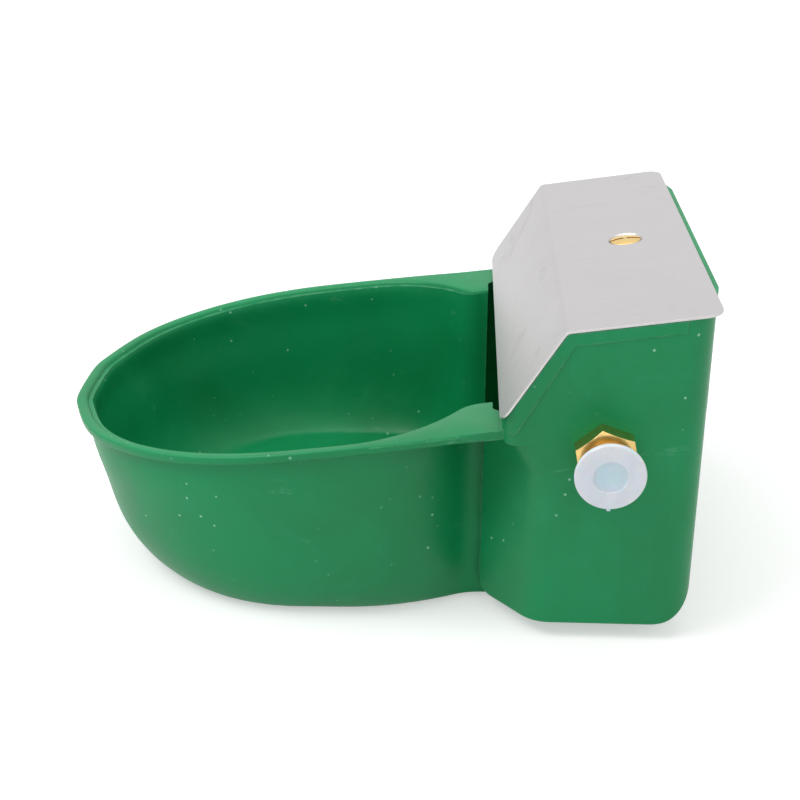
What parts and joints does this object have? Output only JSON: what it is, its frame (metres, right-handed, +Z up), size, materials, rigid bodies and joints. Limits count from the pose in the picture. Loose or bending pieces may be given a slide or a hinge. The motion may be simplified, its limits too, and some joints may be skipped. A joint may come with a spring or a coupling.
{
  "type": "livestock drinking bowl",
  "caption": "Wall-fixed moulded drinking bowl for livestock, with a bent sheet cover over a float chamber and a side-entry float valve.",
  "frame": {"origin": "in the wall plane, midway between the two wall fixing holes", "axes": "+X towards the water inlet, +Y into the wall, +Z up"},
  "size_m": [0.262, 0.3249, 0.1708],
  "materials": {
    "green_plastic": "satin moulded",
    "stainless_sheet": "mill finish",
    "brass_screw": "bright",
    "brass_turned": "machined",
    "brass_cast": "as cast",
    "black_rubber": "matte",
    "natural_plastic": "translucent natural",
    "white_plastic": "satin",
    "black_plastic": "satin",
    "stainless_wire": "drawn",
    "float_plastic": "satin moulded"
  },
  "bodies": {
    "root": {"bowl_body": "green_plastic", "screw_insert": "brass_turned", "valve_body": "brass_turned", "inlet_locknut": "brass_turned", "wall_seal": "black_rubber", "inlet_strainer": "white_plastic", "valve_nozzle": "white_plastic", "valve_end_cap": "brass_turned", "outlet_spout": "black_plastic", "hinge_pin": "stainless_wire", "split_pin": "stainless_wire"},
    "cover": {"cover_plate": "stainless_sheet"},
    "cover_screw": {"cover_screw": "brass_screw"},
    "piston": {"valve_piston": "white_plastic", "piston_seal": "black_rubber"},
    "float_arm": {"float_lever": "brass_cast", "float_rod": "brass_turned", "float_nuts": "brass_turned", "float_shell": "float_plastic", "float_lid": "float_plastic"},
    "inlet_plug": {"inlet_plug": "natural_plastic"}
  },
  "joints": [
    {"name": "cover_lift", "type": "slide", "parent": "root", "child": "cover", "axis": [0, -0.1392, 0.9903], "range_m": [0, 0.08]},
    {"name": "cover_screw_turn", "type": "hinge", "parent": "cover", "child": "cover_screw", "pos_m": [0, -0.0344, 0.02844], "axis": [0, -0.1392, 0.9903], "continuous": true},
    {"name": "float_swing", "type": "hinge", "parent": "root", "child": "float_arm", "pos_m": [0.074, -0.0511, -0.0525], "axis": [0, 1, 0], "range_deg": [0, 12]},
    {"name": "piston_slide", "type": "slide", "parent": "root", "child": "piston", "axis": [1, 0, 0], "range_m": [0, 0.00356]},
    {"name": "plug_pull", "type": "slide", "parent": "root", "child": "inlet_plug", "axis": [1, 0, 0], "range_m": [0, 0.04]}
  ],
  "couplings": [
    {"joint": "piston_slide", "follows": "float_swing", "m_per_rad": 0.017}
  ]
}
